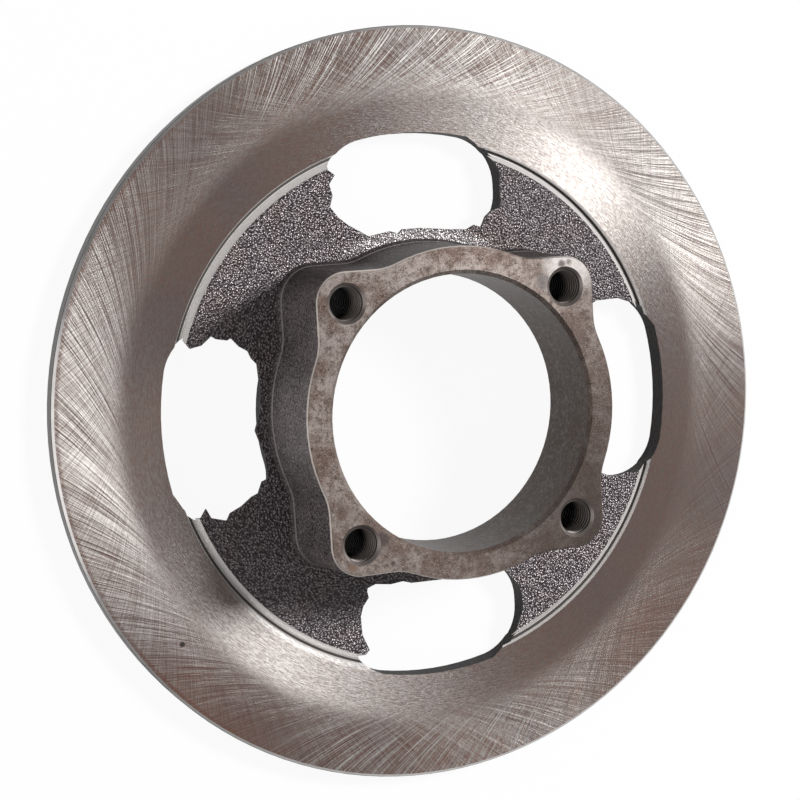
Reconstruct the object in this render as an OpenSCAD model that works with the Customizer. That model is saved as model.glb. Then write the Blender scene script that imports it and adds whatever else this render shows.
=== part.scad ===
// Solid brake disc with a raised hub, cast in iron as one piece and turned on its faces.
// It lies on its rear friction face, with its axis along Z and the hub upwards.
// Four windows lighten the web, and casting flash is left ragged round their front edges.

/* [Friction ring] */
// Outside diameter of the disc
disc_d = 244; // [236:0.5:262]
// Thickness between the two friction faces
ring_t = 7; // [5.5:0.25:12]
// Width of the chamfer on both edges of the rim
rim_chamfer_w = 0.9; // [0.3:0.1:1.6]
// Depth of that chamfer along the axis
rim_chamfer_t = 0.8; // [0.3:0.1:1.6]
// Diameter at which the front friction face ends, at the relief groove
face_inner_d = 172.6; // [170:0.2:175]

/* [Relief groove] */
// Depth of the groove below the friction face
groove_depth = 1.6; // [0.6:0.1:3]
// Width of the steep wall on the outside of the groove
groove_wall_w = 0.6; // [0.3:0.1:1.4]
// Width of the floor of the groove
groove_floor_w = 0.9; // [0.3:0.1:1.4]
// Width of the slope that climbs from the groove to the web
groove_slope_w = 1.8; // [0.8:0.1:2.4]
// Width of the strip that the tool skimmed on the web beside the groove
skim_w = 0.6; // [0.2:0.1:1.5]
// Depth of that strip below the cast surface
skim_t = 0.15; // [0.05:0.05:0.3]

/* [Web] */
// Height of the cast front of the web above the front friction face
web_rise = 0.3; // [0.1:0.1:1.2]
// Depth of the cast back of the web behind the rear friction face
web_setback = 0.7; // [0.2:0.1:1.5]
// Diameter at which the rear friction face ends
rear_inner_d = 171; // [160:1:175]

/* [Windows] */
// Radius of the window edge nearest the rim
window_outer_r = 88.2; // [86.5:0.2:91]
// Radius of the window edge nearest the hub
window_inner_r = 55.8; // [55.4:0.2:60]
// Width of a window from side to side
window_w = 61.8; // [56:0.2:64]
// Corner radius of the window nearest the rim
outer_corner_r = 16; // [10:0.5:18]
// Corner radius of the window nearest the hub
inner_corner_r = 14; // [8:0.5:16]

/* [Hub] */
// Height of the hub face above the rear friction face
hub_h = 38; // [28:0.5:50]
// Diameter of the round body of the hub at its face
hub_d = 103.6; // [100:0.2:106]
// Radius of the four corner lobes at the hub face
lobe_r = 9.65; // [8.5:0.05:10.5]
// Radius of the hollow between the round body and a flat
hollow_r = 18; // [10:0.5:24]
// Amount by which a side of the hub widens down to its foot
hub_draft = 1.4; // [0.4:0.1:2]
// Height of the fillet at the foot of the hub
foot_h = 2; // [0.8:0.1:3]
// Width of that fillet
foot_w = 1; // [0.4:0.1:1.2]
// Width of the broken edge round the hub face
hub_edge = 0.5; // [0.2:0.1:1]

/* [Bore] */
// Diameter of the bore
bore_d = 86.5; // [80:0.1:88]
// Length of the turned wall of the bore, with its chamfer
bore_l = 27.25; // [20:0.25:27.5]
// Width of the chamfer at the mouth of the bore
bore_chamfer = 1.2; // [0.4:0.1:2]
// Diameter of the recess behind the bore
recess_d = 99.2; // [94:0.2:101]
// Depth of the straight part of that recess
recess_h = 2.3; // [1:0.1:5]

/* [Bolt holes] */
// Diameter of the circle that the four holes stand on
bolt_circle_d = 104; // [102:0.25:106]
// Diameter of a tapped hole across the crests of its thread
thread_bore_d = 10.1; // [8:0.1:11]
// Diameter of the countersink at the mouth of a hole
countersink_d = 12.6; // [11.4:0.1:14]

/* [Flash] */
// Thickness of the flash round the windows
flash_t = 1.2; // [0.6:0.1:2]
// Share of its measured width that the flash keeps
flash_share = 1; // [0.4:0.1:1.1]

/* [Hidden] */

$fn = 128;
// Windows and hub sides are four alike, a quarter turn apart
quarters = [0, 90, 180, 270];
// Overlap of two bodies that are fused, and reach of a cutter past a face
bite = 1;
// Overlap of two arcs that run into each other, so that their outlines cross cleanly
hair = 0.02;

disc_r = disc_d / 2;
face_inner_r = face_inner_d / 2;
rear_inner_r = rear_inner_d / 2;
groove_outer_r = face_inner_r - groove_wall_w;
groove_floor_r = groove_outer_r - groove_floor_w;
groove_inner_r = groove_floor_r - groove_slope_w;
web_front_z = ring_t + web_rise;
skim_z = web_front_z - skim_t;
hub_r = hub_d / 2;
bore_r = bore_d / 2;
recess_r = recess_d / 2;
bore_end_z = hub_h - bore_l;
// The corner lobes are round about the holes, so the holes also set the flats of the hub
hole_xy = bolt_circle_d / 2 * cos(45);
flat_x = hole_xy + lobe_r;

// Middle of the hollow between the flat and the round body
hollow_x = flat_x + hollow_r;
hollow_y = sqrt((hub_r + hollow_r) ^ 2 - hollow_x ^ 2);

// Middles of the corner arcs of a window, and the lengths of its wall from the middle
// of its inner edge: inner arc, inner corner, straight side, outer corner
inner_corner_y = window_w / 2 - inner_corner_r;
inner_corner_x = sqrt((window_inner_r + inner_corner_r - hair) ^ 2 - inner_corner_y ^ 2);
outer_corner_y = window_w / 2 - outer_corner_r;
outer_corner_x = sqrt((window_outer_r - outer_corner_r + hair) ^ 2 - outer_corner_y ^ 2);
inner_turn = atan2(inner_corner_y, inner_corner_x);
outer_turn = atan2(outer_corner_y, outer_corner_x);
inner_arc_l = window_inner_r * inner_turn * PI / 180;
inner_corner_l = inner_corner_r * (90 + inner_turn) * PI / 180;
side_l = outer_corner_x - inner_corner_x;
side_start = inner_arc_l + inner_corner_l;
side_end = side_start + side_l;

// Flash in each window, as the window's wall is walked from one end to the other.
// Each point is the way along the wall from the middle of the inner edge, and the
// width of the flash there. The flash ends just inside the wall.
flash_edges = [
    [[-48, -0.3], [-44, 1.2], [-41, 0.6], [-37, 0.9], [-30, 0.8], [-24, 1.6], [-18, 1.2],
     [-12, 0.6], [-6, 1.1], [2, 0.7], [9, 1], [16, 1.4], [23, 1.7], [29, 0.8], [35, 0.7],
     [44, 0.9], [50, 1.1], [57, 1.1], [63, -0.3]],
    [[-63, -0.3], [-58.5, 0.9], [-54, 1], [-49, 0.4], [-46, -0.3], [-34, -0.3], [-31.7, 2.2],
     [-28.2, 2.9], [-24.2, 1.2], [-22, 3.1], [-18.4, 2.4], [-10.7, 1.9], [-1.6, 1.8],
     [4.5, 1.9], [6, 0.7], [8.7, 2], [16.4, 2.2], [26.6, 4], [32, 3.2], [37, 1.9],
     [40.8, 3.1], [44.7, 2], [48.6, 3.2], [49.3, 0.5], [51, -0.3]],
    [[-54.5, -0.3], [-51.6, 0.6], [-51.4, 3.8], [-46.5, 4.7], [-41.8, 2.5], [-40.2, 3.6],
     [-36, 4], [-34.4, 3], [-29.6, 4.3], [-25.2, 3.4], [-22, 3.6], [-19, 2.4], [-11.5, 1.2],
     [-7.6, 0.6], [-1.5, 1.1], [2.2, 2.5], [10.2, 0.8], [18, 1.3], [19.3, 3.3], [24.3, 3.5],
     [27.2, 4.8], [33.8, 4.7], [39.5, 3.6], [40.7, 1.4], [46.4, 2.3], [49.6, 4.6], [50, 1.4],
     [52, 0.4], [57, 0.5], [61, 0.4], [63.5, -0.3]],
    [[-50.5, -0.3], [-51.8, 2.3], [-51.4, 4.3], [-43.5, 4], [-36.5, 3.7], [-32, 3.6],
     [-27.4, 3.6], [-26.1, 1.7], [-25.2, 1], [-22, 1.4], [-16, 2.9], [-11.5, 1.6], [-8.4, 2],
     [1.7, 1.6], [10, 1.2], [18, 0.9], [26.7, 0.7], [33.3, 0.4], [36, -0.3], [42, -0.3],
     [45.2, 0.7], [50.3, 0.8], [56, 1.3], [60, 1], [63.5, -0.3]]
];

// Point that lies inside a window, "width" in from its wall at "way" along it
function wall_point(way, width) =
    way < 0 ? flipped(wall_point(-way, width)) :
    way < inner_arc_l ?
        arc_point([0, 0], window_inner_r + width, way / window_inner_r * 180 / PI) :
    way < side_start ?
        arc_point([inner_corner_x, inner_corner_y], inner_corner_r - width,
                  180 + inner_turn - (way - inner_arc_l) / inner_corner_r * 180 / PI) :
    way < side_end ?
        [inner_corner_x + way - side_start, window_w / 2 - width] :
        arc_point([outer_corner_x, outer_corner_y], outer_corner_r - width,
                  90 - (way - side_end) / outer_corner_r * 180 / PI);
function flipped(p) = [p.x, -p.y];
function arc_point(middle, r, turn) = middle + r * [cos(turn), sin(turn)];

module brake_disc() {
    color("dimgray")
    difference() {
        union() {
            turned_plate();
            hub();
        }
        windows();
        bore();
        bolt_holes();
    }
}

// Section of the web and the friction ring, from under the hub out to the rim
module turned_plate() {
    rotate_extrude()
    polygon([
        [hub_r - bite, web_setback],
        [rear_inner_r - web_setback, web_setback],
        [rear_inner_r, 0],
        [disc_r - rim_chamfer_w, 0],
        [disc_r, rim_chamfer_t],
        [disc_r, ring_t - rim_chamfer_t],
        [disc_r - rim_chamfer_w, ring_t],
        [face_inner_r, ring_t],
        [groove_outer_r, ring_t - groove_depth],
        [groove_floor_r, ring_t - groove_depth],
        [groove_inner_r, skim_z],
        [groove_inner_r - skim_w, skim_z],
        [groove_inner_r - skim_w, web_front_z],
        [hub_r - bite, web_front_z]
    ]);
}

// Each window is cut clean behind the flash, and to the ragged edge of the flash in front
module windows() {
    flash_z = web_front_z - flash_t;
    for (i = [0 : len(quarters) - 1])
        rotate(quarters[i]) {
            translate([0, 0, -bite])
                linear_extrude(flash_z + bite)
                window_outline();
            translate([0, 0, flash_z])
                linear_extrude(flash_t + bite)
                difference() {
                    window_outline();
                    flash_outline(flash_edges[i]);
                }
        }
}

// Window between two arcs about the disc's axis, with straight sides and round corners
module window_outline() {
    far = 2 * window_outer_r;
    difference() {
        intersection() {
            circle(r = window_outer_r, $fn = 256);
            union() {
                polygon([
                    [0, 0],
                    [inner_corner_x, inner_corner_y],
                    [outer_corner_x, outer_corner_y],
                    far * [cos(outer_turn), sin(outer_turn)],
                    far * [cos(outer_turn), -sin(outer_turn)],
                    [outer_corner_x, -outer_corner_y],
                    [inner_corner_x, -inner_corner_y]
                ]);
                translate([inner_corner_x, -window_w / 2])
                    square([side_l, window_w]);
                for (side = [-1, 1]) {
                    translate([inner_corner_x, side * inner_corner_y])
                        circle(r = inner_corner_r);
                    translate([outer_corner_x, side * outer_corner_y])
                        circle(r = outer_corner_r);
                }
            }
        }
        circle(r = window_inner_r, $fn = 256);
    }
}

// Outline of the flash on one window's wall: along its ragged edge, and back inside the web
module flash_outline(edge) {
    last = len(edge) - 1;
    polygon(concat(
        [for (p = edge) wall_point(p.x, p.y * flash_share)],
        [for (i = [last : -1 : 0]) wall_point(edge[i].x, -bite)]
    ));
}

// The hub tapers from its foot to its face, where its edge is broken
module hub() {
    foot_z = web_front_z + foot_h;
    edge_z = hub_h - hub_edge;
    hub_stage(web_setback, web_front_z, hub_draft + foot_w, hub_draft + foot_w);
    hub_stage(web_front_z, foot_z, hub_draft + foot_w, hub_draft);
    hub_stage(foot_z, edge_z, hub_draft, 0);
    hub_stage(edge_z, hub_h, 0, -hub_edge);
}

// Slice of the hub whose outline stands "low" wider at its bottom and "high" at its top
module hub_stage(bottom, top, low, high) {
    translate([0, 0, bottom])
        cylinder(h = top - bottom, r1 = hub_r + low, r2 = hub_r + high);
    for (turn = quarters)
        rotate(turn) {
            translate([hole_xy, hole_xy, bottom])
                cylinder(h = top - bottom, r1 = lobe_r + low, r2 = lobe_r + high);
            for (side = [0, 1])
                mirror([0, side, 0])
                hollow(bottom, top, low, high);
        }
    for (turn = [0, 90])
        rotate([90, 0, turn])
        linear_extrude(2 * hole_xy, center = true)
        polygon([
            [-flat_x - low, bottom],
            [flat_x + low, bottom],
            [flat_x + high, top],
            [-flat_x - high, top]
        ]);
}

// Wedge that joins a flat to the round body, hollowed by a cone about its tip
module hollow(bottom, top, low, high) {
    inside = hub_r - hub_edge - bite;
    ray = atan2(hollow_y, hollow_x);
    difference() {
        translate([0, 0, bottom])
            linear_extrude(top - bottom)
            polygon([
                [hollow_x, hollow_y],
                [hole_xy, hollow_y],
                inside * [cos(ray), sin(ray)]
            ]);
        translate([hollow_x, hollow_y, bottom])
            cylinder(h = top - bottom, r1 = hollow_r - low, r2 = hollow_r - high);
    }
}

// Turned bore, its chamfered mouth, and the recess that opens behind it
module bore() {
    translate([0, 0, -bite])
        cylinder(h = hub_h + 2 * bite, r = bore_r);
    translate([0, 0, hub_h - bore_chamfer])
        cylinder(h = bore_chamfer + bite, r1 = bore_r, r2 = bore_r + bore_chamfer + bite);
    translate([0, 0, recess_h])
        cylinder(h = bore_end_z - recess_h, r1 = recess_r, r2 = bore_r);
    translate([0, 0, -bite])
        cylinder(h = recess_h + bite, r = recess_r);
}

module bolt_holes() {
    sink = (countersink_d - thread_bore_d) / 2;
    for (turn = quarters)
        rotate(turn)
        translate([hole_xy, hole_xy, 0]) {
            translate([0, 0, -bite])
                cylinder(h = hub_h + 2 * bite, d = thread_bore_d, $fn = 64);
            translate([0, 0, hub_h - sink])
                cylinder(h = sink + bite, d1 = thread_bore_d, d2 = countersink_d + 2 * bite, $fn = 64);
        }
}

brake_disc();
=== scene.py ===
# %% [markdown]
# A solid brake disc lies on a white studio floor with its hub up. The packed CAD model is
# loaded first and stays as it is, because it fixes every size. All that follows gives it
# threads, finishes, light and a camera.

# %% Load the disc
import math
import bpy
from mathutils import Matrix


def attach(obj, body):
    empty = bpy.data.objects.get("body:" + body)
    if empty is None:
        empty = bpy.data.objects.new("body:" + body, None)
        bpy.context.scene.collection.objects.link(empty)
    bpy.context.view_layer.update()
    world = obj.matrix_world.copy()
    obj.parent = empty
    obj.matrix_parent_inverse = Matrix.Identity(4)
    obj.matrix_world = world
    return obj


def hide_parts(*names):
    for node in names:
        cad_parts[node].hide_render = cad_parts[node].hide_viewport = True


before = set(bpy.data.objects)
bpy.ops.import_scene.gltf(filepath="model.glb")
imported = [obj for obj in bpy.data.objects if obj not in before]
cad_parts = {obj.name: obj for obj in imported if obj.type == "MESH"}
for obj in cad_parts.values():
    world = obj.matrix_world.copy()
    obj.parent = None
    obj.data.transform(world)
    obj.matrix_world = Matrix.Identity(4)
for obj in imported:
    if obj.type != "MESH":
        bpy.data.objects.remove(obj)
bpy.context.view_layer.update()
disc_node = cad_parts["brake_disc"]

# %% [markdown]
# Sizes that the finishes need again. The zones of the disc are rings about its axis, so a
# finish is chosen by its distance from the axis and its height. All are in millimetres, and
# MM turns them into Blender's metres.

# %% Sizes of the zones
MM = 0.001
WEB_TOP = 7.3
HUB_TOP = 38.0
FACE_INNER = 86.3
GROOVE_INNER = 83.0
RIM = 121.1
DISC_R = 122.0
BORE = 43.25
RECESS_R = 49.7
SINK_R = 6.28
BOLT_CIRCLE_R = 52
HOLE_XY = BOLT_CIRCLE_R * math.cos(math.radians(45))
HOLES = [(HOLE_XY, HOLE_XY), (-HOLE_XY, HOLE_XY), (-HOLE_XY, -HOLE_XY), (HOLE_XY, -HOLE_XY)]
print("holes at", [(round(x, 1), round(y, 1)) for x, y in HOLES])

# %% [markdown]
# A copy of the disc takes the looks, so that the holes can be tapped in it. The loaded mesh
# is loose triangles. In the copy, points at the same place are merged first, which lets the
# round walls shade smoothly. SAME_PLACE is in metres, so it means within 0.002 mm.

# %% Copy the disc
SAME_PLACE = 0.000002


def only(piece):
    bpy.ops.object.select_all(action="DESELECT")
    piece.select_set(True)
    bpy.context.view_layer.objects.active = piece


only(disc_node)
bpy.ops.object.duplicate()
disc = bpy.context.active_object
disc.name = "tapped_disc"
disc.parent = None
only(disc)
bpy.ops.object.mode_set(mode="EDIT")
bpy.ops.mesh.select_all(action="SELECT")
bpy.ops.mesh.remove_doubles(threshold=SAME_PLACE)
bpy.ops.mesh.customdata_custom_splitnormals_clear()
bpy.ops.object.mode_set(mode="OBJECT")
print("copied disc:", len(disc.data.polygons), "faces")

# %% [markdown]
# The four holes are tapped. As in the workshop, a tap is made first: one tooth of its thread
# is drawn as an edge, and a Screw modifier turns it up the shank. Its turns are merged where
# they meet, within SEAM, which is 0.01 mm, and the open ends are filled. A picture of a thread
# would look flat from the side, so the thread is real here.

# %% Make the taps
PITCH = 1.5
CREST_R = 5.95
ROOT_R = 5.0
ROOT_FLAT, FLANK, CREST_FLAT = 0.2, 0.5, 0.15
LAST_FLANK = PITCH - (ROOT_FLAT + FLANK + CREST_FLAT)
TOOTH = [(0, ROOT_FLAT), (CREST_R - ROOT_R, FLANK), (0, CREST_FLAT), (ROOT_R - CREST_R, LAST_FLANK)]
TURNS = 29
STEPS_A_TURN = 40
TAP_BOTTOM = -3
SEAM = 0.00001


def make_tap(name, x, y):
    bpy.ops.object.select_all(action="DESELECT")
    bpy.ops.mesh.primitive_plane_add(size=2 * MM, location=(0, 0, 0))
    tap = bpy.context.active_object
    tap.name = name
    bpy.ops.object.mode_set(mode="EDIT")
    bpy.ops.mesh.select_all(action="SELECT")
    bpy.ops.mesh.merge(type="CENTER")
    bpy.ops.transform.translate(value=(ROOT_R * MM, 0, 0))
    for out, up in TOOTH:
        step = {"value": (out * MM, 0, up * MM)}
        bpy.ops.mesh.extrude_vertices_move(TRANSFORM_OT_translate=step)
    bpy.ops.object.mode_set(mode="OBJECT")
    screw = tap.modifiers.new("thread", "SCREW")
    screw.screw_offset = PITCH * MM
    screw.iterations = TURNS
    screw.steps = screw.render_steps = STEPS_A_TURN
    only(tap)
    bpy.ops.object.modifier_apply(modifier=screw.name)
    bpy.ops.object.mode_set(mode="EDIT")
    bpy.ops.mesh.select_all(action="SELECT")
    bpy.ops.mesh.remove_doubles(threshold=SEAM)
    bpy.ops.mesh.select_all(action="DESELECT")
    bpy.ops.mesh.select_non_manifold()
    bpy.ops.mesh.edge_face_add()
    bpy.ops.mesh.select_all(action="SELECT")
    bpy.ops.mesh.normals_make_consistent(inside=False)
    bpy.ops.transform.translate(value=(x * MM, y * MM, TAP_BOTTOM * MM))
    bpy.ops.object.mode_set(mode="OBJECT")
    return tap


taps = [make_tap(f"tap_{i + 1}", x, y) for i, (x, y) in enumerate(HOLES)]
print("tap:", len(taps[0].data.polygons), "faces")

# %% [markdown]
# A Boolean modifier takes each tap out of the disc, which leaves its thread in the wall. The
# taps are then thrown away. Faces that meet at less than 28 degrees shade as one surface.

# %% Tap the holes
SMOOTH_BELOW = math.radians(28)
for tap in taps:
    cut = disc.modifiers.new("tapped", "BOOLEAN")
    cut.operation = "DIFFERENCE"
    cut.solver = "MANIFOLD"
    cut.object = tap
only(disc)
for cut in list(disc.modifiers):
    bpy.ops.object.modifier_apply(modifier=cut.name)
for tap in taps:
    bpy.data.objects.remove(tap)
bpy.ops.object.mode_set(mode="EDIT")
bpy.ops.mesh.select_all(action="SELECT")
bpy.ops.mesh.remove_doubles(threshold=SAME_PLACE)
bpy.ops.object.mode_set(mode="OBJECT")
bpy.ops.object.shade_smooth_by_angle(angle=SMOOTH_BELOW)
disc.data.materials.clear()
print("tapped disc:", len(disc.data.polygons), "faces")

# %% [markdown]
# Shader nodes are written as plain sums. A Value wraps the socket that gives a number, so
# that 1 - mask adds a Math node.


# %% A number in a node tree
class Value:
    def __init__(self, nodes, socket):
        self.nodes, self.socket = nodes, socket

    def math(self, operation, *others, swap=False):
        parts = [self, *others]
        if swap:
            parts.reverse()
        return self.nodes.value("ShaderNodeMath", {"operation": operation}, dict(enumerate(parts)))

    def __add__(self, other): return self.math("ADD", other)
    def __radd__(self, other): return self.math("ADD", other)
    def __sub__(self, other): return self.math("SUBTRACT", other)
    def __rsub__(self, other): return self.math("SUBTRACT", other, swap=True)
    def __mul__(self, other): return self.math("MULTIPLY", other)
    def __rmul__(self, other): return self.math("MULTIPLY", other)
    def __truediv__(self, other): return self.math("DIVIDE", other)


# %% [markdown]
# All other nodes come from one method, node, which takes the kind of node, its settings and
# what goes into its sockets. The short methods below it name the nodes that are used often:
# rise goes from 0 at its start to 1 at its end, and near is 1 in a spot and 0 far from it.


# %% Nodes of one tree
class Nodes:
    def __init__(self, tree):
        self.tree = tree
        self.tree.nodes.clear()

    def node(self, kind, settings=None, sockets=None):
        made = self.tree.nodes.new(kind)
        for name, setting in (settings or {}).items():
            setattr(made, name, setting)
        for name, source in (sockets or {}).items():
            socket = made.inputs[name]
            if isinstance(source, Value):
                source = source.socket
            if isinstance(source, bpy.types.NodeSocket):
                self.tree.links.new(source, socket)
            elif isinstance(source, tuple) and len(source) == 3 and socket.type == "RGBA":
                socket.default_value = (*source, 1)
            else:
                socket.default_value = source
        return made

    def value(self, kind, settings=None, sockets=None):
        return Value(self, self.node(kind, settings, sockets).outputs[0])

    def rise(self, number, start, end):
        return self.value("ShaderNodeMapRange", {"interpolation_type": "SMOOTHSTEP"},
                          {"Value": number, "From Min": start, "From Max": end})

    def near(self, x, y, spot, inner, outer, ragged=0.0):
        across, along = x - spot[0], y - spot[1]
        away = (across * across + along * along).math("SQRT") + ragged
        return self.rise(away, outer, inner)

    def place(self, x, y, z):
        return self.node("ShaderNodeCombineXYZ", {}, {"X": x, "Y": y, "Z": z}).outputs[0]

    def noise(self, where, scale, detail, roughness):
        return self.value("ShaderNodeTexNoise", {}, {"Vector": where, "Scale": scale,
                          "Detail": detail, "Roughness": roughness})

    def grains(self, where, scale):
        return self.value("ShaderNodeTexVoronoi", {}, {"Vector": where, "Scale": scale})

    def mix(self, share, first, second):
        made = self.node("ShaderNodeMix", {"data_type": "RGBA"}, {"Factor": share})
        for name, colour in (("A", first), ("B", second)):
            socket = [s for s in made.inputs if s.name == name and s.type == "RGBA"][0]
            if isinstance(colour, tuple):
                socket.default_value = (*colour, 1)
            else:
                self.tree.links.new(colour, socket)
        return [s for s in made.outputs if s.type == "RGBA"][0]

    def bump(self, height, distance):
        return self.node("ShaderNodeBump", {}, {"Height": height, "Distance": distance * MM,
                                                "Strength": 1.0}).outputs[0]

    def metal(self, **sockets):
        names = {name.replace("_", " ").title().replace("Ior", "IOR"): source
                 for name, source in sockets.items()}
        return self.node("ShaderNodeBsdfPrincipled", {}, names).outputs[0]

    def blend(self, share, first, second):
        return self.node("ShaderNodeMixShader", {}, {0: share, 1: first, 2: second}).outputs[0]

    def coordinates(self):
        where = self.node("ShaderNodeTexCoord").outputs["Object"]
        in_mm = self.node("ShaderNodeVectorMath", {"operation": "SCALE"},
                          {"Vector": where, "Scale": 1 / MM}).outputs[0]
        parts = self.node("ShaderNodeSeparateXYZ", {}, {0: in_mm}).outputs
        x, y, z = (Value(self, part) for part in parts)
        radius = (x * x + y * y).math("SQRT")
        angle = y.math("ARCTAN2", x)
        return in_mm, x, y, z, radius, angle


print("short methods:", [name for name in vars(Nodes) if not name.startswith("_")])

# %% [markdown]
# A Finish is the node tree of one new material. It starts empty, and cover puts the finished
# shader on the surface.


# %% A finish
class Finish(Nodes):
    def __init__(self, name):
        self.material = bpy.data.materials.new(name)
        self.material.use_nodes = True
        super().__init__(self.material.node_tree)

    def cover(self, shader):
        self.node("ShaderNodeOutputMaterial", {}, {"Surface": shader})
        print(self.material.name, "has", len(self.tree.nodes), "nodes")
        return self.material


# %% [markdown]
# The friction ring was ground on a rotating table by a cup wheel. The wheel leaves arcs that
# cross each other: circles of about 137 mm radius whose middles stand 234 mm from the axis.
# A picture of scratches would blur and repeat, so the pattern is built from that motion. At
# each point, the two turns of the table at which the wheel's edge passed over it are found,
# and a fine noise on each turn gives the two sets of arcs.

# %% Arcs of the grinding wheel
WHEEL_R = 137.0
WHEEL_AWAY = 234.0
FINENESS = 360.0


def arcs(f, radius, angle, side, seed):
    reach = (radius * radius + (WHEEL_AWAY ** 2 - WHEEL_R ** 2)) / (radius * (2 * WHEEL_AWAY))
    turn = angle + side * reach.math("MINIMUM", 1.0).math("ARCCOSINE")
    where = f.place(turn.math("COSINE") * FINENESS, turn.math("SINE") * FINENESS,
                    radius * 0.05 + seed)
    return f.noise(where, 1.0, 2.0, 0.6)


f = Finish("ground_face")
where, x, y, _, radius, angle = f.coordinates()
sets = [arcs(f, radius, angle, side, 5.0 + side) for side in (1, -1)]
print("arcs of", WHEEL_R, "mm:", len(f.tree.nodes), "nodes")

# %% [markdown]
# The arcs show on the outer part of the ring only. Towards the groove they fade into fine
# swirls round the axis, so the two patterns are joined by the distance from the axis.

# %% Pattern of the whole ring
ARCS_FROM, ARCS_TO = 97.0, 105.0
DEEP_FROM, DEEP_TO = 96.0, 112.0
crossed = f.rise(radius, ARCS_FROM, ARCS_TO)
deep = f.rise(radius, DEEP_FROM, DEEP_TO)
circle = f.place(radius * 3.0, angle.math("COSINE") * 45.0, angle.math("SINE") * 45.0)
swirl = f.noise(circle, 1.0, 3.0, 0.65)
lines = (sets[0] + sets[1]) * 0.5 * crossed + (swirl * 1.1 - 0.05) * (1 - crossed)
stain = f.noise(where, 0.03, 4.0, 0.6)
grit = f.noise(where, 1.1, 3.0, 0.7)
print("ring pattern:", len(f.tree.nodes), "nodes")

# %% [markdown]
# The colour of the steel: a warm grey, with dark threads in the deep scratches and light ones
# on their ridges. At the top and the bottom of the ring, where the light runs along the
# scratches, they are painted stronger as a painted glint; they are stronger at its left too.
# A band beside the groove, at the lower left, is painted lighter as a painted highlight, and its
# film is thinner.

# %% Colour of the ground steel
STEEL_DARK, STEEL_LIGHT = (0.42, 0.395, 0.37), (0.54, 0.51, 0.485)
SCRATCH_DARK, SCRATCH_LIGHT = (0.13, 0.09, 0.07), (0.74, 0.72, 0.69)
PAINTED_HIGHLIGHT = (0.80, 0.78, 0.76)
# Painted glint: the scratches are painted stronger at the top and the bottom of the ring.
painted_glint_share = f.rise((y / radius).math("ABSOLUTE"), 0.84, 0.98)
left = f.rise(x, -60.0, -105.0)
colour = f.mix(lines, STEEL_DARK, STEEL_LIGHT)
for threads, share in zip(sets, (0.55, 0.3)):
    strength = deep * share * (painted_glint_share * 0.9 + left * 0.5 + 0.6)
    colour = f.mix(f.rise(threads, 0.49, 0.38) * strength, colour, SCRATCH_DARK)
    colour = f.mix(f.rise(threads, 0.52, 0.63) * strength, colour, SCRATCH_LIGHT)
# Painted highlight: a lighter band beside the groove at the lower left.
painted_highlight_band = f.rise(radius, 88.0, 87.4) * f.rise(y, -45.0, -60.0) * f.rise(x, 15.0, -5.0)
colour = f.mix(painted_highlight_band * 0.5, colour, PAINTED_HIGHLIGHT)
print("colour of the steel:", len(f.tree.nodes), "nodes")

# %% [markdown]
# A ground face shines in wide bright fans, because each scratch is a tiny groove that
# spreads the light across itself. Anisotropic metal does the same, but in one direction only.
# ACROSS, a quarter turn, lays that along circles round the axis, which suits the swirls. The
# two sets of arcs lie about a tenth of a turn to either side of such a circle, so each set
# gets a metal of its own, and the two are blended along the arcs.

# %% Brushed steel
ACROSS = 0.25
ARC_TURN = 36 / 360
BRUSHING = 0.94
SCRATCH_DEPTH = 0.11


def brushed(turn, height):
    return f.metal(base_color=colour, roughness=0.45, metallic=1.0, anisotropic=BRUSHING,
                   anisotropic_rotation=turn, normal=f.bump(height + grit * 0.2, SCRATCH_DEPTH))


over = 0.25 + f.rise(sets[0] * 1.3 - sets[1] * 0.3, 0.42, 0.54) * 0.68
arced = f.blend(over, brushed(ACROSS - ARC_TURN, sets[1]), brushed(ACROSS + ARC_TURN, sets[0]))
steel = f.blend(crossed, brushed(ACROSS, swirl), arced)
print("brushed steel:", len(f.tree.nodes), "nodes")

# %% [markdown]
# A thin brown film of rust and pad dust lies over the steel. It doesn't shine, so it is a
# plain rough coat, with dark specks and one pit at the lower left.

# %% Brown film
FILM_BROWN, FILM_RED = (0.078, 0.030, 0.022), (0.108, 0.040, 0.022)
FILM_SPECK, FILM_PIT = (0.03, 0.018, 0.013), (0.02, 0.014, 0.010)
PIT = (-86.5, -66.4)
pit = f.near(x, y, PIT, 0.5, 1.0)
brown = f.mix(f.rise(stain + grit * 0.3, 0.5, 0.8), FILM_BROWN, FILM_RED)
brown = f.mix(f.rise(grit + stain * 0.2, 0.66, 0.78) * 0.8, brown, FILM_SPECK)
brown = f.mix(pit, brown, FILM_PIT)
film = f.metal(base_color=brown, roughness=0.7, metallic=0.0, normal=f.bump(lines, SCRATCH_DEPTH))
print("brown film:", len(f.tree.nodes), "nodes")

# %% [markdown]
# The film covers about six tenths of the steel. It is rubbed off along the light scratches,
# and it stays thick at the rim's left edge, in the pit and at the lower corners of the ring.
# Where the scratches are painted strongest, as a painted glint at the top and the bottom, some
# are fresh: they are bare and shine to all sides.

# %% Film on the steel
FILM_SHARE = 0.60
FRESH_STEEL = (0.72, 0.70, 0.67)
covered = FILM_SHARE + stain * 0.12 - f.rise(lines + grit * 0.5, 0.58, 0.90) * 0.30
scratch = sets[0] + grit * 0.2
bared = f.rise(scratch, 0.60, 0.76) - f.rise(scratch, 0.60, 0.46) * 0.7
grimy = f.rise(y, -55.0, -80.0) * f.rise(x.math("ABSOLUTE"), 45.0, 70.0)
# Painted glint: at the top and the bottom the film is thinned along the scratches.
covered = covered + (grimy * 0.2 + painted_glint_share * 0.06 - bared * painted_glint_share * 0.30) * deep
unrubbed = f.rise(radius, 119.4, 120.4) * f.rise(x, -50.0, -100.0) * 0.25
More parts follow.
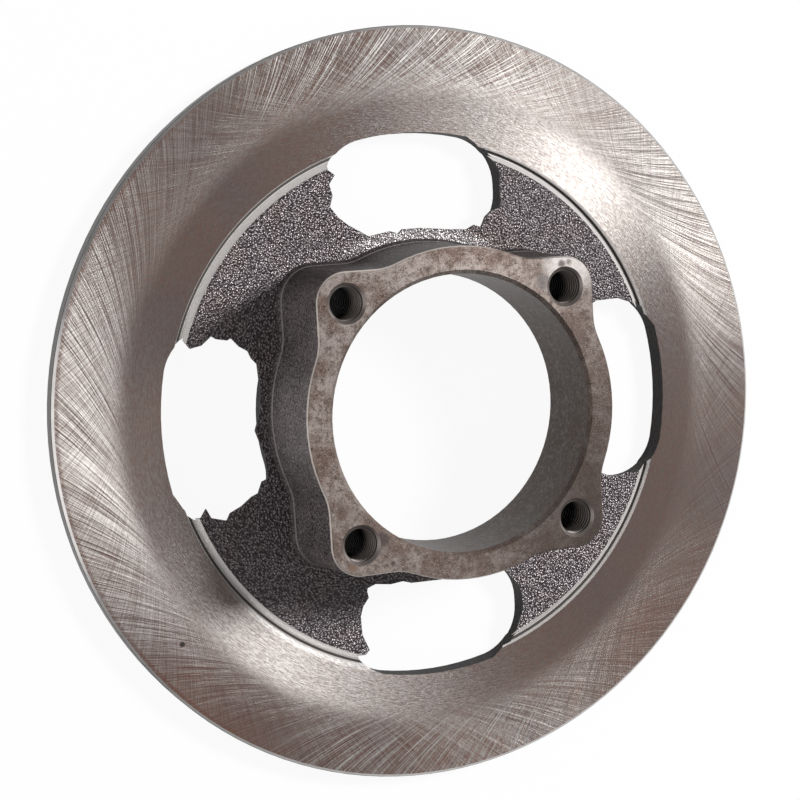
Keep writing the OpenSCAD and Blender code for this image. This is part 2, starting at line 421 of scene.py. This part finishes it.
# The painted highlight band also thins the film a little.
covered = covered + unrubbed - painted_highlight_band * 0.1 + pit
fresh = f.metal(base_color=FRESH_STEEL, roughness=0.5, metallic=1.0,
                normal=f.bump(sets[0], SCRATCH_DEPTH))
# Painted glint: fresh bare scratches at the top and the bottom of the ring.
scored = f.rise(scratch, 0.62, 0.75) * painted_glint_share * deep * 0.75
ground = f.cover(f.blend(scored, f.blend(covered, steel, film), fresh))

# %% [markdown]
# The web was never machined: it keeps the grain of the sand mould. A texture of small cells,
# about 0.7 mm wide, gives the grains, and some of them catch the light. The lip of the upper
# window lies in the light, so it is painted paler as painted light.

# %% Sand-cast web
GRAIN_LIGHT, GRAIN_DARK = (0.46, 0.42, 0.42), (0.05, 0.042, 0.046)
LIP_PAINTED_LIGHT = (0.50, 0.47, 0.47)
f = Finish("sand_cast")
where, _, y, _, radius, _ = f.coordinates()
grains = f.grains(where, 1.4)
lumps = f.noise(where, 0.9, 3.0, 0.65)
stain = f.noise(where, 0.06, 3.0, 0.6)
dark = f.mix(f.rise(stain, 0.45, 0.65), (0.172, 0.153, 0.160), (0.190, 0.158, 0.156))
colour = f.mix(f.rise(grains, 0.45, 0.1), dark, GRAIN_LIGHT)
colour = f.mix(f.rise(grains + lumps * 0.5, 0.65, 0.95) * 0.7, colour, GRAIN_DARK)
# Painted light on the lip of the upper window.
painted_lip_light = f.rise(radius, 59.0, 56.0) * f.rise(y, 49.0, 54.0)
colour = f.mix(painted_lip_light * 0.8, colour, LIP_PAINTED_LIGHT)
sand = f.cover(f.metal(base_color=colour, roughness=0.36, metallic=0.85,
                       normal=f.bump(lumps * 0.7 - grains, 0.42)))

# %% [markdown]
# The sides of the hub and the walls of the windows are cast too, but smoother, where the
# mould was dressed. The hub's sides are a speckled grey with a light line at their foot, and
# the walls of the windows, lower down, are painted almost black as painted shade.

# %% Dressed cast walls
HUB_FROM, HUB_WHOLE = 6.0, 9.0
f = Finish("cast_wall")
where, _, y, z, _, _ = f.coordinates()
lumps = f.noise(where, 1.1, 4.0, 0.7)
stain = f.noise(where, 0.1, 3.0, 0.6)
fine = f.noise(where, 1.5, 3.0, 0.75)
grains = f.grains(where, 1.5)
# Painted shade: below the hub's foot, the walls of the windows are painted almost black.
hub = f.rise(z, HUB_FROM, HUB_WHOLE)
plain = f.mix(hub, (0.010, 0.008, 0.008), (0.078, 0.068, 0.070))
worn_and_shade = f.mix(hub, (0.026, 0.020, 0.018), (0.135, 0.116, 0.112))
colour = f.mix(f.rise(stain, 0.35, 0.7), plain, worn_and_shade)
colour = f.mix(f.rise(lumps, 0.58, 0.72) * hub * 0.7, colour, (0.32, 0.29, 0.29))
speckled = f.rise(grains, 0.34, 0.1) * f.rise(stain, 0.38, 0.55)
colour = f.mix(speckled * hub * 0.7, colour, (0.36, 0.32, 0.33))
colour = f.mix(f.rise(fine, 0.50, 0.60) * hub * 0.75, colour, (0.34, 0.30, 0.30))
colour = f.mix(f.rise(fine, 0.47, 0.37) * hub * 0.75, colour, (0.02, 0.017, 0.017))
colour = f.mix(f.rise(y, 38.0, 50.0) * hub * 0.65, colour, (0.030, 0.022, 0.020))
foot = f.rise(z, 8.7, 9.3) * f.rise(z, 10.0, 9.5)
colour = f.mix(foot * 0.8, colour, (0.46, 0.43, 0.42))
wall = f.cover(f.metal(base_color=colour, roughness=0.5, ior=1.2, metallic=hub * 0.6,
                       normal=f.bump(lumps, 0.4)))

# %% [markdown]
# The hub face was turned once and has stood in damp air since: a warm grey with brown bloom,
# darker pits and small stains. Nine marks are placed: one painted highlight round the upper
# right hole, where the turned face catches the light, and eight chipped or rusty spots as on
# the real face. Each has its place, the reach of its core and of its edge, its share and its
# colour.

# %% Marks on the hub face
MARKS_AND_HIGHLIGHT = [
    # Painted highlight round the upper right hole.
    ((38.8, 44.3), 5.0, 12.0, 0.5, (0.66, 0.63, 0.61)),
    ((35.9, 43.9), 0.6, 1.8, 0.9, (0.1, 0.08, 0.075)),
    ((38.4, 44.4), 0.4, 1.4, 0.8, (0.12, 0.1, 0.09)),
    ((29.0, 39.0), 1.5, 3.2, 0.8, (0.13, 0.115, 0.11)),
    ((-30.0, -35.8), 1.2, 3.0, 0.85, (0.07, 0.055, 0.055)),
    ((-31.6, -39.3), 0.8, 2.0, 0.6, (0.08, 0.065, 0.065)),
    ((-26.9, -43.6), 0.4, 1.2, 0.8, (0.05, 0.035, 0.03)),
    ((-40.0, -43.2), 0.8, 2.2, 0.65, (0.13, 0.072, 0.042)),
    ((-42.4, -26.6), 1.0, 2.6, 0.6, (0.09, 0.058, 0.045)),
]
print("marks:", len(MARKS_AND_HIGHLIGHT))

# %% Hub face
CLEAN_GREY, DULL_BROWN = (0.34, 0.29, 0.265), (0.17, 0.120, 0.100)
f = Finish("hub_face")
where, x, y, z, radius, angle = f.coordinates()
cloud = f.noise(where, 0.09, 5.0, 0.7)
bloom = f.noise(where, 0.45, 4.0, 0.7)
specks = f.noise(where, 1.8, 3.0, 0.6)
rings = f.noise(f.place(radius * 4.0, angle * 3.0, 0.0), 1.0, 2.0, 0.6)
grain = f.noise(where, 2.6, 3.0, 0.75)
colour = f.mix(f.rise(cloud, 0.40, 0.60), CLEAN_GREY, DULL_BROWN)
colour = f.mix(f.rise(bloom + grain * 0.3, 0.56, 0.84) * 0.75, colour, (0.09, 0.060, 0.048))
colour = f.mix(f.rise(specks + cloud * 0.15, 0.66, 0.74) * 0.8, colour, (0.04, 0.030, 0.026))
colour = f.mix(f.rise(grain + rings * 0.3, 0.60, 0.46) * 0.6, colour, (0.60, 0.55, 0.51))
# Darker towards the right and the bottom of the face.
dim = f.rise(x, 0.0, 44.0) * 0.55 + f.rise(y, 5.0, -40.0) * 0.35
colour = f.mix(dim, colour, (0.075, 0.056, 0.048))
for spot, inner, outer, share, mark in MARKS_AND_HIGHLIGHT:
    colour = f.mix(f.near(x, y, spot, inner, outer, grain * 2.0 - 1.0) * share, colour, mark)
# Painted highlight along the outer edge of the hub face, on its left side.
edge = f.rise(z, 37.95, 37.8) * f.rise(radius, 46.0, 47.0) * f.rise(x, 20.0, 0.0)
colour = f.mix(edge * 0.85, colour, (0.62, 0.56, 0.52))
hub_face = f.cover(f.metal(base_color=colour, roughness=0.52 + f.rise(bloom, 0.5, 0.7) * 0.12,
                           metallic=0.8, anisotropic=0.4, anisotropic_rotation=ACROSS,
                           normal=f.bump(grain + rings * 0.4, 0.08)))

# %% [markdown]
# The wall of the bore was turned as well. It lies in its own shade and has rusted evenly, so
# it is a dark brown with faint rings.

# %% Bore wall
f = Finish("bore_wall")
where, _, _, z, _, angle = f.coordinates()
cloud = f.noise(where, 0.12, 4.0, 0.6)
specks = f.noise(where, 0.8, 3.0, 0.6)
rings = f.noise(f.place(angle * 3.0, z * 3.0, 0.0), 1.0, 2.0, 0.5)
colour = f.mix(f.rise(cloud, 0.4, 0.65), (0.060, 0.044, 0.038), (0.048, 0.029, 0.021))
colour = f.mix(f.rise(specks, 0.48, 0.62) * 0.7, colour, (0.025, 0.018, 0.015))
colour = f.mix(f.rise(specks, 0.46, 0.36) * 0.5, colour, (0.13, 0.11, 0.10))
bore_wall = f.cover(f.metal(base_color=colour, roughness=0.45, metallic=0.8,
                            normal=f.bump(rings + specks, 0.04)))

# %% [markdown]
# The rim, its chamfers and the relief groove were turned too. The groove stays the brightest
# of all, because nothing rubs in it, apart from a dark line of painted shade on its floor. The
# wall of the rim is dull.

# %% Turned edges and groove
GROOVE_END, EDGE_START = 100.0, 101.0
f = Finish("turned_metal")
where, _, _, z, radius, angle = f.coordinates()
rings = f.noise(f.place(radius * 5.0, angle * 4.0, z * 5.0), 1.0, 2.0, 0.5)
cloud = f.noise(where, 0.1, 3.0, 0.6)
specks = f.noise(where, 1.2, 3.0, 0.6)
colour = f.mix(f.rise(cloud, 0.35, 0.7), (0.56, 0.54, 0.53), (0.45, 0.43, 0.42))
colour = f.mix(f.rise(radius, EDGE_START, GROOVE_END), colour, (0.74, 0.715, 0.70))
rim_wall = f.rise(radius, DISC_R - 0.2, DISC_R - 0.1)
edge = f.rise(radius, GROOVE_END, EDGE_START)
# Painted shade: a dark line along the floor of the groove.
painted_groove_shade = f.rise(radius, 84.8, 85.1) * f.rise(radius, 85.9, 85.7)
colour = f.mix(painted_groove_shade * 0.95, colour, (0.055, 0.048, 0.045))
colour = f.mix(rim_wall, colour, (0.060, 0.056, 0.052))
colour = f.mix(f.rise(specks, 0.60, 0.75) * 0.4, colour, (0.20, 0.15, 0.12))
turned = f.cover(f.metal(base_color=colour, roughness=0.42 - edge * 0.12, ior=1.15,
                         metallic=0.45 + edge * 0.55 - rim_wall * 0.9,
                         normal=f.bump(rings, 0.02)))

# %% [markdown]
# The threads are grey steel on their crests and dark at their roots. Little light gets
# down the holes, so the metal is painted darker with depth as well, as painted shade.

# %% Tapped holes
f = Finish("thread_metal")
where, x, y, z, _, _ = f.coordinates()
away_x, away_y = (v.math("ABSOLUTE") - HOLE_XY for v in (x, y))
away = (away_x * away_x + away_y * away_y).math("SQRT")
cloud = f.noise(where, 0.4, 3.0, 0.6)
colour = f.mix(cloud, (0.16, 0.135, 0.125), (0.34, 0.30, 0.28))
# Darker at the roots of the threads.
root = f.rise(away, 5.12, 5.5) * f.rise(z, 36.9, 36.6)
colour = f.mix(root * 0.9, colour, (0.02, 0.016, 0.014))
# Painted shade: darker with depth down the holes.
colour = f.mix(f.rise(z, 31.0, 25.0), colour, (0.006, 0.005, 0.005))
threads = f.cover(f.metal(base_color=colour, roughness=0.5, metallic=1.0,
                          normal=f.bump(cloud, 0.05)))

# %% [markdown]
# Each face of the disc gets the finish of its zone. The zone is found from where the middle
# of the face lies and from up, which is 1 on a face that looks straight up, 0 on an upright
# wall and -1 below. The cone behind the bore comes first, because the holes run into it.

# %% Zones of the disc
finishes = [ground, sand, wall, hub_face, bore_wall, turned, threads]
GROUND, SAND, WALL, HUB_FACE, BORE_WALL, TURNED, THREAD = range(len(finishes))
FLAT_UP, FLOOR_UP, CHAMFER_UP = 0.99, 0.9, 0.5
CONE_UP = (-0.65, -0.55)
SLOPE_UP = (0.05, 0.999)
CONE_START = 1.0
HUB_EDGE, BORE_EDGE, GROOVE_EDGE, FLOOR_EDGE = 0.6, 1.3, 0.7, 0.5
HAIR = 0.1


def between(number, limits):
    return limits[0] < number < limits[1]


def zone(face):
    x, y, z = (v / MM for v in face.center)
    up = face.normal.z
    radius = math.hypot(x, y)
    if radius < RECESS_R and between(up, CONE_UP) and z > CONE_START:
        return BORE_WALL
    if min(math.hypot(x - hx, y - hy) for hx, hy in HOLES) < SINK_R:
        return THREAD
    if z > HUB_TOP - HUB_EDGE:
        return HUB_FACE
    if radius < BORE + BORE_EDGE:
        return HUB_FACE if up > CHAMFER_UP else BORE_WALL
    if radius > FACE_INNER - GROOVE_EDGE and abs(up) > FLAT_UP:
        return GROUND
    groove_side = radius > GROOVE_INNER - GROOVE_EDGE and between(up, SLOPE_UP)
    groove_floor = radius > GROOVE_INNER + FLOOR_EDGE and z < WEB_TOP - HAIR and up > FLOOR_UP
    if radius > RIM - HAIR or groove_side or groove_floor:
        return TURNED
    if abs(up) > FLAT_UP and z < WEB_TOP + HAIR:
        return SAND
    return WALL


print("zones:", len(finishes))

# %% Put the finishes on
for material in finishes:
    disc.data.materials.append(material)
for face in disc.data.polygons:
    face.material_index = zone(face)
slots = [face.material_index for face in disc.data.polygons]
print("faces by finish:", {m.name: slots.count(i) for i, m in enumerate(finishes)})
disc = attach(disc, "root")
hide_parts("brake_disc")

# %% [markdown]
# The floor is a large sheet of white paper. Rays from the camera and off the metal see most
# of it as plain white, and the rest keeps the soft shadow of the disc.

# %% Floor
FLOOR_SIZE = 6
FLOOR_Z = -0.0002
PLAIN_SHARE = 0.93
PAPER, WHITE = (0.85, 0.85, 0.85), (1.0, 1.0, 1.0)
bpy.ops.object.select_all(action="DESELECT")
bpy.ops.mesh.primitive_plane_add(size=FLOOR_SIZE, location=(0, 0, FLOOR_Z))
floor = bpy.context.active_object
floor.name = "floor"
f = Finish("white_floor")
paper = f.node("ShaderNodeBsdfDiffuse", {}, {"Color": PAPER}).outputs[0]
white = f.node("ShaderNodeEmission", {}, {"Color": WHITE, "Strength": 1.0}).outputs[0]
rays = f.node("ShaderNodeLightPath").outputs
seen = (Value(f, rays["Is Camera Ray"]) + Value(f, rays["Is Glossy Ray"])) * PLAIN_SHARE
floor.data.materials.append(f.cover(f.blend(seen, paper, white)))

# %% [markdown]
# The light comes from the upper right, about 41 degrees above the disc, as the hub's shadow
# shows. The lamp is far away, so the light is even over the ring. A weaker lamp from the
# left fills the shadows. Both look at the middle of the disc.


# %% Lamps
def lamp(name, azimuth, elevation, away, size, power):
    a, e = math.radians(azimuth), math.radians(elevation)
    level = away * math.cos(e)
    spot = (level * math.cos(a), level * math.sin(a), away * math.sin(e))
    bpy.ops.object.light_add(type="AREA", location=spot)
    made = bpy.context.active_object
    made.name = name
    made.data.shape = "DISK"
    made.data.size = size
    made.data.energy = power
    made.rotation_euler = (0, math.radians(90 - elevation), math.radians(azimuth))
    print(name, "at", [round(v, 2) for v in spot])


lamp("key_light", azimuth=23, elevation=41, away=2.2, size=0.55, power=54)
lamp("fill_light", azimuth=190, elevation=23, away=1.5, size=1.3, power=6)

# %% [markdown]
# Bare metal mirrors the room round it, so the room counts as much as the lamps. It is an
# even, dim grey to the metal and plain white to the camera.

# %% Room
ROOM_GREY = (0.28, 0.28, 0.28)
world = bpy.data.worlds.new("studio")
bpy.context.scene.world = world
world.use_nodes = True
room = Nodes(world.node_tree)
grey_room = room.node("ShaderNodeBackground", {}, {"Color": ROOM_GREY}).outputs[0]
white_room = room.node("ShaderNodeBackground", {}, {"Color": WHITE}).outputs[0]
to_camera = room.node("ShaderNodeLightPath").outputs["Is Camera Ray"]
shown = room.blend(to_camera, grey_room, white_room)
room.node("ShaderNodeOutputWorld", {}, {"Surface": shown})
print("room:", len(room.tree.nodes), "nodes")

# %% [markdown]
# The camera looks down on the disc from its left, with the lens and the place that make the
# rim, the bore and the four holes fall where the photograph has them.

# %% Camera
CAMERA_AT = (-0.23117, 0.06408, 0.55758)
CAMERA_TURN = (-4.5283, -22.2879, -3.6112)
LENS = 83.32
SENSOR = 36
bpy.ops.object.camera_add(location=CAMERA_AT, rotation=[math.radians(a) for a in CAMERA_TURN])
camera = bpy.context.active_object
camera.data.lens = LENS
camera.data.sensor_width = SENSOR
bpy.context.scene.camera = camera
bpy.context.scene.view_settings.view_transform = "Standard"
print("camera", round(math.hypot(*CAMERA_AT), 3), "m away")

# %% [markdown]
